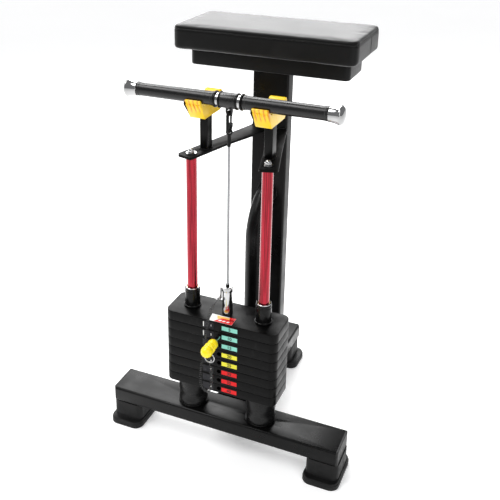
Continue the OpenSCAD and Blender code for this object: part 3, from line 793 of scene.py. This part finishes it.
# ---- Head plate sticker ----
# A glossy sticker lies on the head plate in front of the stem: white at its left end, then
# slanting orange and red fields with three white bars. It is plain, with no words.
sticker_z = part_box("head_plate")[1].z
sticker_front = (-0.0265, 0.0310)
sticker_rear = (-0.0310, 0.0305)
sticker_depth = (-0.0470, -0.0185)


def sticker_patch(name, front_shares, rear_shares, depth_shares, layer, material):
    """A four-sided patch between shares of the sticker's front edge, rear edge and depth."""
    z0 = sticker_z + (layer - 1) * label_thick
    piece = box_between(name, (0, 0, z0), (1, 1, z0 + label_thick))
    for vertex in piece.data.vertices:
        across = round(vertex.co.x)
        deep = depth_shares[round(vertex.co.y)]
        ends = rear_shares if round(vertex.co.y) else front_shares
        front_x = sticker_front[0] + (sticker_front[1] - sticker_front[0]) * ends[across]
        rear_x = sticker_rear[0] + (sticker_rear[1] - sticker_rear[0]) * ends[across]
        vertex.co.x = front_x + (rear_x - front_x) * deep
        vertex.co.y = rod_y + sticker_depth[0] + (sticker_depth[1] - sticker_depth[0]) * deep
    return fit(piece, "carriage", material, "plate_iron")


sticker_patch("sticker_white", (0, 1), (0, 1), (0, 1), 1, paper)
sticker_patch("sticker_orange", (0.30, 0.85), (0.22, 0.80), (0.45, 0.9), 2,
              label_finish["orange"])
sticker_patch("sticker_red", (0.20, 1), (0.45, 1), (0, 0.62), 3, label_finish["red"])
sticker_patch("sticker_red_corner", (0.80, 1), (0.74, 1), (0.5, 1), 3, label_finish["red"])
for k in range(3):
    start = 0.38 + 0.17 * k
    sticker_patch(f"sticker_bar_{k}", (start, start + 0.10), (start + 0.04, start + 0.14),
                  (0.16, 0.34), 4, paper)

# ---- Guide sleeves ----
# Turned steel sleeves on the head plate hold brass bushes that run on the rods. They are
# painted gloss black, and a chrome ring closes each one.
chrome = metal("polished_chrome", 0.48, 0.06, spread=0.06)
sleeve_black = powder_coat("sleeve_gloss_black", 0.003, 0.18)
brass = metal("turned_brass", 0.8, 0.25, (1, 1, 12), tint=(1.0, 0.76, 0.36))
sleeve_low, sleeve_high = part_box("guide_sleeve_right")
collar = (sleeve_high.x - sleeve_low.x) / 2
sleeve_out = 0.0185
sleeve_bore = 0.0165
z0, z1 = sleeve_low.z, sleeve_high.z
sleeve_profile = ([(sleeve_bore, z0), (collar - 0.001, z0), (collar, z0 + 0.001),
                   (collar, z0 + 0.003)]
                  + arc(sleeve_out + 0.0022, z0 + 0.0062, 0.0022, 270, 180)
                  + [(sleeve_out, z1 - 0.009), (sleeve_out - 0.0008, z1 - 0.008),
                     (sleeve_out - 0.0008, z1 - 0.006), (sleeve_out, z1 - 0.005)]
                  + arc(sleeve_out - 0.001, z1 - 0.001, 0.001, 0, 90)
                  + [(sleeve_bore, z1), (sleeve_bore, z0)])
for side, node in ((-1, "guide_sleeve_left"), (1, "guide_sleeve_right")):
    fit(turned("turned_" + node, sleeve_profile, (side * rod_x, rod_y, 0)), "carriage",
        sleeve_black, "sleeve_paint", node)
paint_node("guide_bushes", brass)
paint_node("sleeve_rings", chrome)

# ---- Selector stem, clip and pin ----
# The stem is a chromed bar with a cross hole for each plate. A sheet-steel clip on it holds
# the lanyard's ferrule. The pin is chromed too, with a split ring under its knob.
paint_node("selector_stem", metal("stem_chrome", 0.6, 0.07, (1, 1, 0.05), 0.08))
fit(soften(merged_copy("lanyard_clip", "stem_clip"), 0.0004), "carriage", chrome,
    "bright_chrome", "lanyard_clip")
for node in ("pin_shaft", "pin_ring"):
    paint_node(node, chrome)

# ---- Pin knob ----
# A glossy yellow knob moulded round the pin: a ball at the end, a waist for the fingers and
# a smaller ball against the plate.
knob_yellow = moulded("knob_yellow_plastic", (70, 3), ((0.92, 0.68, 0.0, 1),
                                                       (0.97, 0.80, 0.004, 1)), (120, 3),
                      (0.28, 0.42), (600, 3), (0.08, 0.0003), Coat_Weight=0.1,
                      Subsurface_Weight=0.08, Subsurface_Radius=(0.004, 0.002, 0.0005))
knob_low, knob_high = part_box("pin_knob")
knob_z = (knob_low.z + knob_high.z) / 2
ball = (knob_high.z - knob_low.z) / 2
front_y, rear_y = knob_low.y, knob_high.y
knob_profile = ([(0.0, front_y)] + arc(0.0, front_y + ball, ball, -88, 38, 16)
                + arc(0.0176, front_y + 0.0285, 0.0052, 215, 145, 6)
                + arc(0.0, rear_y - 0.012, 0.0125, -40, 55, 10)
                + [(0.0060, rear_y - 0.0006), (0.0051, rear_y), (0.0, rear_y)])
fit(turned("yellow_knob", knob_profile, (0, 0, knob_z), "Y", 48), "pin", knob_yellow,
    "knob_plastic", "pin_knob")

# ---- Bracket arms, posts and nuts ----
# Flat steel arms run from the upright to the rods' tops, where a washer and an acorn nut
# hold each. A square post stands on each arm and carries a steel saddle for the cradle.
arm_paint = powder_coat("arm_powder_coat", 0.002, 0.5, 0.07)
for node in ("bracket_arm_left", "bracket_arm_right"):
    arm = merged_copy(node, "plate_" + node)
    pick(arm)
    select_edges(arm, lambda a, b: is_upright(a, b) and a.y < rod_y)
    bpy.ops.mesh.bevel(offset=0.003, segments=4, affect="EDGES")
    bpy.ops.object.mode_set(mode="OBJECT")
    fit(soften(arm, 0.0007), "frame", arm_paint, "frame_paint", node)
for node in ("cradle_post_left", "cradle_post_right", "cradle_saddles"):
    painted(node, "steel_" + node, 0.0005)
arm_low, arm_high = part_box("bracket_arm_right")
stand_low, stand_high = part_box("cradle_post_right")
weld("weld_arms_top", [(-spine_half, upright_front, arm_high.z),
                       (spine_half, upright_front, arm_high.z)])
weld("weld_arms_under", [(-spine_half, upright_front, arm_low.z),
                         (spine_half, upright_front, arm_low.z)])
weld("weld_arm_seam", [(0, upright_front - 0.023, arm_high.z - 0.0012),
                       (0, upright_front, arm_high.z - 0.0012)])
for side in (-1, 1):
    near, far = sorted((side * stand_low.x, side * stand_high.x))
    weld(f"weld_post_{'left' if side < 0 else 'right'}",
         rectangle(near, far, stand_low.y - rod_y, stand_high.y - rod_y, arm_high.z), True)

nut_low, nut_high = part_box("rod_nuts")
hex_height = 0.005
hex_radius = nut_high.x - rod_x
dome_radius = 0.0066
for side, word in ((-1, "left"), (1, "right")):
    spot = Vector((side * rod_x, rod_y, 0))
    bpy.ops.object.select_all(action="DESELECT")
    bpy.ops.mesh.primitive_cylinder_add(
        vertices=6, radius=hex_radius, depth=hex_height, rotation=(0, 0, pi / 6),
        location=(spot.x, spot.y, nut_low.z + hex_height / 2))
    nut = bpy.context.object
    nut.name = nut.data.name = f"acorn_nut_{word}"
    bpy.ops.object.transform_apply(location=True, rotation=True, scale=True)
    soften(nut, 0.0007, 3)
    crown = turned("crown", [(0.0, nut_low.z + hex_height - 0.0015)]
                   + arc(0.0, nut_low.z + hex_height, dome_radius, -10, 90, 12), spot)
    pick(nut)
    crown.select_set(True)
    bpy.ops.object.join()
    fit(nut, "frame", chrome, "bright_chrome", *["rod_nuts"] * (side < 0))
paint_node("rod_washers", chrome)

# ---- Bar cradles ----
# Injection-moulded yellow cradles hold the bar. Their sloping front is stiffened by upright
# ribs inside a raised border, and the plastic is scuffed where the bar lands. Darker orange
# bands across the ribbed front are painted shade for the grooves between the ribs.
cradle_yellow, place = start_material("cradle_yellow_plastic")
landing = place.stretched(2, 1, 1).noise(55, 5, 0.7).ramp(0.55, 0.78)
# Painted shade: darker orange bands on the front face stand for the shade in the grooves.
groove_shade_bands = place.node("TexWave", {"wave_type": "BANDS", "bands_direction": "X"},
                     {"Vector": place, "Scale": 31.0, "Distortion": 0.6, "Detail": 1.0}, 1)
front_face = place.axis(1).ramp(rod_y - 0.002, rod_y - 0.010)
groove_shade_and_scuffs = (groove_shade_bands.ramp(0.55, 0.9) * front_face * 0.75 + landing * 0.5).ramp(0.0, 1.0)
finish_material(cradle_yellow, {
    "Base Color": groove_shade_and_scuffs.mixed((0.96, 0.62, 0.0, 1), (0.74, 0.27, 0.0, 1)),
    "Roughness": place.noise(150, 3).ramp(0.3, 0.7, 0.3, 0.46),
    "Normal": place.bump(place.noise(900, 3), 0.18, 0.0004), "Coat Weight": 0.15,
    "Subsurface Weight": 0.06, "Subsurface Radius": (0.004, 0.002, 0.0005)})
rib_count = 5
rib_width = 0.0032
rib_depth = 0.0016
rib_margin = 0.0028
for node in ("cradle_left", "cradle_right"):
    cradle = merged_copy(node, "yellow_" + node)
    low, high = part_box(node)
    slope_low = Vector((0, low.y + 0.0295, low.z + 0.005))
    slope_high = Vector((0, low.y + 0.0035, low.z + 0.038))
    soften(cradle, 0.0011, 3)
    for k in range(rib_count):
        bpy.ops.object.select_all(action="DESELECT")
        bpy.ops.mesh.primitive_cube_add(size=1)
        rib = bpy.context.object
        rib.scale = (rib_width, rib_depth * 2, (slope_high - slope_low).length)
        bpy.ops.object.transform_apply(location=True, rotation=True, scale=True)
        soften(rib, 0.0006, 2)
        upward = (slope_high - slope_low).normalized()
        sideways = Vector((1, 0, 0))
        turn = Matrix((sideways, upward.cross(sideways), upward)).transposed().to_4x4()
        spot = slope_low.lerp(slope_high, 0.5)
        spot.x = low.x + rib_margin + (high.x - low.x - 2 * rib_margin) * k / (rib_count - 1)
        rib.data.transform(Matrix.Translation(spot) @ turn)
        pick(cradle)
        rib.select_set(True)
        bpy.ops.object.join()
    fit(cradle, "frame", cradle_yellow, "cradle_plastic", node)

# ---- Lift cable ----
# A coated wire rope from the stem's eye to the snap hook. Its six strands show through the
# grey coat as a slow twist, and its two ends are crimped in black sleeves.
cable_low, cable_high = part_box("lift_cable")
cable_radius = (cable_high.x - cable_low.x) / 2
strand_count = 6
strand_lay = 0.042
slice_height = 0.0035
coat_grey = moulded("cable_coat", (120, 4), ((0.26, 0.27, 0.28, 1), (0.40, 0.41, 0.42, 1)),
                    (300, 2), (0.3, 0.45), (1200, 2), (0.1, 0.0002), Metallic=0.15)
bpy.ops.object.select_all(action="DESELECT")
bpy.ops.mesh.primitive_circle_add(vertices=strand_count * 5, radius=cable_radius,
                                  fill_type="NGON", location=(0, rod_y, cable_low.z))
cable = bpy.context.object
cable.name = cable.data.name = "wire_rope"
bpy.ops.object.transform_apply(location=True, rotation=True, scale=True)
for vertex in cable.data.vertices:
    spoke = Vector((vertex.co.x, vertex.co.y - rod_y, 0))
    lobe = 0.93 + 0.07 * cos(strand_count * Vector((1, 0)).angle_signed(spoke.xy, 0))
    vertex.co.x = spoke.x * lobe
    vertex.co.y = rod_y + spoke.y * lobe
slices = round((cable_high.z - cable_low.z) / slice_height)
rise = (cable_high.z - cable_low.z) / slices
pick(cable)
bpy.ops.object.mode_set(mode="EDIT")
bpy.ops.mesh.select_all(action="SELECT")
for _ in range(slices):
    bpy.ops.mesh.extrude_region_move(TRANSFORM_OT_translate={"value": (0, 0, rise)})
    bpy.ops.transform.rotate(value=2 * pi * rise / strand_lay, orient_axis="Z",
                             center_override=(0, rod_y, cable_low.z))
bpy.ops.mesh.select_all(action="SELECT")
bpy.ops.mesh.normals_make_consistent(inside=False)
bpy.ops.object.mode_set(mode="OBJECT")
bpy.ops.object.shade_smooth_by_angle(angle=radians(50))
fit(cable, "carriage", coat_grey, "cable_steel", "lift_cable")

# ---- Snap hook ----
# A black forged snap hook joins the cable's eye to the bar. Its gate is a blackened sprung
# bar on a rivet at the rear, and the crimps at the cable's ends are black as well.
hook_black = powder_coat("hook_black_oxide", 0.005, 0.34)
paint_node("snap_hook", hook_black)
paint_node("cable_crimps", hook_black)
paint_node("hook_gate", metal("blackened_gate", 0.06, 0.35, (1, 1, 0.1)))

# ---- Bar sleeve ----
# A black nylon sleeve in the middle of the bar, with a lug below for the hook. The bar turns
# freely inside it.
nylon = moulded("black_nylon", (80, 3), (grey(0.004), grey(0.01)), (200, 3), (0.22, 0.36),
                (1100, 2), (0.12, 0.0003), Specular_IOR_Level=0.45)
fit(soften(merged_copy("bar_sleeve", "nylon_bar_sleeve"), 0.0008, 3), "carriage", nylon,
    "sleeve_plastic", "bar_sleeve")

# ---- Bar, collars and caps ----
# A plated steel tube carries everything. Chrome spacers between black rings close off the
# sleeve, and flared chrome caps with a domed face close the ends.
paint_node("bar_tube", metal("plated_bar_tube", 0.6, 0.22, (0.05, 1, 1)))
grip_low, grip_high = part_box("grip_right")
bar_z = (grip_low.z + grip_high.z) / 2
grip_r = (grip_high.z - grip_low.z) / 2
caps_low, caps_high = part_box("bar_end_caps")
collars_low, collars_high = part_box("bar_collars")
cap_in = grip_high.x
cap_out = caps_high.x
cap_r = (caps_high.z - caps_low.z) / 2
tube_r = 0.0127
neck_r = grip_r + 0.0010
flare = 0.022
rim = 0.003
dome_r, dome_rise = cap_r - 0.0032, 0.0064
cap_profile = ([(tube_r, cap_in + 0.0003), (grip_r + 0.0004, cap_in + 0.0003)]
               + arc(grip_r + 0.0002, cap_in + 0.0012, 0.0008, -60, 0, 3)
               + [(neck_r + (cap_r - neck_r) * (k / 10) ** 1.8, cap_in + 0.002 + flare * k / 10)
                  for k in range(11)]
               + arc(cap_r - rim, cap_in + 0.0243, rim, 15, 62, 4)
               + [(dome_r * cos(radians(a)), cap_out - dome_rise + dome_rise * sin(radians(a)))
                  for a in range(15, 91, 15)])
ring_r = (collars_high.z - collars_low.z) / 2
ring_width = 0.004
collar_out = collars_high.x
collar_in = collar_out - 0.015


def bar_ring(name, start):
    """A thin ring on the bar, with round edges."""
    inner = grip_r - 0.0012
    edge = 0.0010
    profile = ([(inner, start)] + arc(ring_r - edge, start + edge, edge, -90, 0, 4)
               + arc(ring_r - edge, start + ring_width - edge, edge, 0, 90, 4)
               + [(inner, start + ring_width), (inner, start)])
    return turned(name, profile, (0, 0, 0), "X", 64)


def to_bar(piece, side):
    """Moves a turned piece from the origin to the bar, turned round for the left side."""
    flip = Matrix.Rotation(0 if side > 0 else pi, 4, "Z")
    piece.data.transform(Matrix.Translation((0, rod_y, bar_z)) @ flip)
    return piece


spacer_profile = [(tube_r, collar_in), (grip_r - 0.0006, collar_in + 0.0004),
                  (grip_r - 0.0006, collar_out - 0.0004), (tube_r, collar_out)]
for side, word in ((1, "right"), (-1, "left")):
    cap = turned(f"chrome_cap_{word}", cap_profile, (0, 0, 0), "X", 72)
    spacer = turned(f"chrome_spacer_{word}", spacer_profile, (0, 0, 0), "X", 64)
    inner_ring = bar_ring(f"black_ring_in_{word}", collar_in)
    outer_ring = bar_ring(f"black_ring_out_{word}", collar_out - ring_width)
    for piece, node in ((cap, "bar_end_caps"), (spacer, "bar_collars")):
        fit(to_bar(piece, side), "bar", chrome, "bright_chrome", *[node] * (side > 0))
    for piece in (inner_ring, outer_ring):
        fit(to_bar(piece, side), "bar", sleeve_black, "sleeve_paint")

# ---- Grips ----
# Black rubber sleeves over the bar. The rubber is smooth with a fine cloth-like grain, and
# each end has a rolled lip.
grip_rubber, place = start_material("grip_rubber")
finish_material(grip_rubber, {
    "Base Color": place.stretched(0.4, 1, 1).noise(40, 4).mixed(grey(0.004), grey(0.012)),
    "Roughness": place.stretched(0.3, 1, 1).noise(70, 3).ramp(0.3, 0.7, 0.2, 0.3),
    "Normal": place.bump(place.noise(1400, 2), 0.1, 0.0002),
    "Specular IOR Level": 0.38})
lip = 0.0014
grip_in, grip_out = grip_low.x, grip_high.x
waist_r = grip_r - 0.0006
grip_profile = ([(tube_r, grip_in)] + arc(grip_r - lip, grip_in + lip, lip, -90, 0, 4)
                + [(grip_r, grip_in + 0.006), (waist_r, grip_in + 0.0068),
                   (waist_r, grip_out - 0.0068), (grip_r, grip_out - 0.006)]
                + arc(grip_r - lip, grip_out - lip, lip, 0, 90, 4) + [(tube_r, grip_out)])
for side, node in ((1, "grip_right"), (-1, "grip_left")):
    grip = turned("rubber_" + node, grip_profile, (0, 0, 0), "X", 64)
    fit(to_bar(grip, side), "bar", grip_rubber, "grip_rubber", node)


# ---- Pad ----
# A thick foam cushion under black grained vinyl. The top panel is sewn to the boxing strip
# by a piped seam that runs all the way round, and the strip's ends meet in a seam at each side.
def vinyl_leather(name, tone):
    made, place = start_material(name)
    cells = place.node("TexVoronoi", {"feature": "DISTANCE_TO_EDGE"},
                       {"Vector": place, "Scale": 420.0})
    grain = cells.ramp(0.02, 0.25) * 0.7 + place.noise(1300, 3) * 0.3
    wear = place.noise(9, 4, 0.6).ramp(0.45, 0.75)
    return finish_material(made, {
        "Base Color": wear.mixed(grey(tone), grey(tone * 1.9)),
        "Roughness": place.noise(14, 4, 0.6).ramp(0.2, 0.8, 0.39, 0.44),
        "Normal": place.bump(grain, 0.2, 0.0005),
        "Specular IOR Level": 0.15, "Sheen Weight": 0.32, "Sheen Roughness": 0.3})


cushion_vinyl = vinyl_leather("cushion_vinyl", 0.004)
cushion_low, cushion_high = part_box("pad_cushion")
cushion_start = 0.002
cushion_corner = 0.018
swell_cap = 0.003
cushion = box_between("cushion", cushion_low + Vector((cushion_start,) * 3),
                      cushion_high - Vector((cushion_start,) * 3))
round_corners(cushion, cushion_corner, 8)
soften(cushion, 0.004, 3)


def swollen(piece, voxel, pressure, cap):
    """Inflates a closed shape as stuffed cloth, and holds how far each point may go."""
    apply_modifier(piece, "REMESH", mode="VOXEL", voxel_size=voxel)
    rest = [vertex.co.copy() for vertex in piece.data.vertices]
    pick(piece)
    cloth = piece.modifiers.new("cloth", "CLOTH")
    cloth.settings.use_pressure = True
    cloth.settings.uniform_pressure_force = pressure
    cloth.settings.effector_weights.gravity = 0
    cloth.settings.quality = 5
    scene = bpy.context.scene
    for number in range(1, 21):
        scene.frame_set(number)
    bpy.ops.object.modifier_apply(modifier="cloth")
    scene.frame_set(1)
    for vertex, start in zip(piece.data.vertices, rest):
        step = vertex.co - start
        if step.length > cap:
            vertex.co = start + step * (cap / step.length)
    apply_modifier(piece, "SMOOTH", factor=0.5, iterations=2)
    apply_modifier(piece, "SUBSURF", levels=1, render_levels=1)
    pick(piece)
    bpy.ops.object.shade_smooth()
    return piece


swollen(cushion, 0.0045, 6.0, swell_cap)
# The cloth draws itself in at the corners, so the cushion is let out again to its full size.
for axis in range(3):
    values = [vertex.co[axis] for vertex in cushion.data.vertices]
    low, high = min(values), max(values)
    share = (cushion_high[axis] - cushion_low[axis]) / (high - low)
    for vertex in cushion.data.vertices:
        vertex.co[axis] = cushion_low[axis] + (vertex.co[axis] - low) * share
seam_z = cushion_high.z - 0.011
seam_half = 0.006
seam_depth = 0.0022
skin = 0.012
cushion_middle = (cushion_low + cushion_high) / 2
half_size = (cushion_high - cushion_low) / 2
for vertex in cushion.data.vertices:
    spot = vertex.co - cushion_middle
    at_side = abs(spot.x) > half_size.x - skin or abs(spot.y) > half_size.y - skin
    nearness = max(0.0, 1 - abs(spot.z + cushion_middle.z - seam_z) / seam_half)
    if at_side and nearness > 0:
        spot -= Vector((spot.x, spot.y, 0)).normalized() * seam_depth * nearness ** 2
    vertex.co = spot + cushion_middle


def on_cushion(place, lift):
    """The nearest point of the cushion's skin, a little above or below it."""
    _, near, normal, _ = cushion.closest_point_on_mesh(place)
    return near + normal * lift


def round_rectangle(middle, half_x, half_y, corner, step):
    """Points along a rectangle with round corners, about the same distance apart."""
    points = []
    turns = [(1, 1, 0), (-1, 1, 90), (-1, -1, 180), (1, -1, 270)]
    for sx, sy, start in turns:
        centre = middle + Vector((sx * (half_x - corner), sy * (half_y - corner), 0))
        for k in range(13):
            a = radians(start + 90 * k / 12)
            points.append(centre + Vector((cos(a), sin(a), 0)) * corner)
    filled = []
    for a, b in zip(points, points[1:] + points[:1]):
        count = max(1, round((b - a).length / step))
        filled += [a.lerp(b, k / count) for k in range(count)]
    return filled


piping_size = 0.0026
seam_size = 0.0014
piping_vinyl = vinyl_leather("piping_vinyl", 0.004)
ring_middle = Vector((cushion_middle.x, cushion_middle.y, seam_z))
outline = round_rectangle(ring_middle, half_size.x, half_size.y, cushion_corner, 0.004)
piping = tube_along("cushion_piping", [on_cushion(p, 0.0002) for p in outline], piping_size,
                    cyclic=True, sides=2)
fit(piping, "frame", piping_vinyl, "pad_vinyl")
side_seam_y = rod_y + 0.298
for side, word in ((-1, "left"), (1, "right")):
    heights = [seam_z - 0.002 - 0.0035 * k for k in range(12)]
    seam = [on_cushion(Vector((side * half_size.x, side_seam_y, z)), 0.0) for z in heights]
    fit(tube_along(f"cushion_seam_{word}", seam, seam_size, sides=1), "frame", piping_vinyl,
        "pad_vinyl")
fit(cushion, "frame", cushion_vinyl, "pad_vinyl", "pad_cushion")

fit(soften(merged_copy("pad_base", "upholstered_block"), 0.0045, 4), "frame",
    vinyl_leather("block_vinyl", 0.003), "pad_vinyl", "pad_base")
wood, place = start_material("plywood")
plies = place.stretched(0.15, 1, 60).noise(12, 5, 0.6)
finish_material(wood, {
    "Base Color": plies.mixed((0.42, 0.27, 0.13, 1), (0.62, 0.44, 0.25, 1)),
    "Roughness": 0.65, "Normal": place.bump(plies, 0.2, 0.0004)})
paint_node("pad_board", wood)
painted("pad_plate", "pad_mounting_plate", 0.0008)
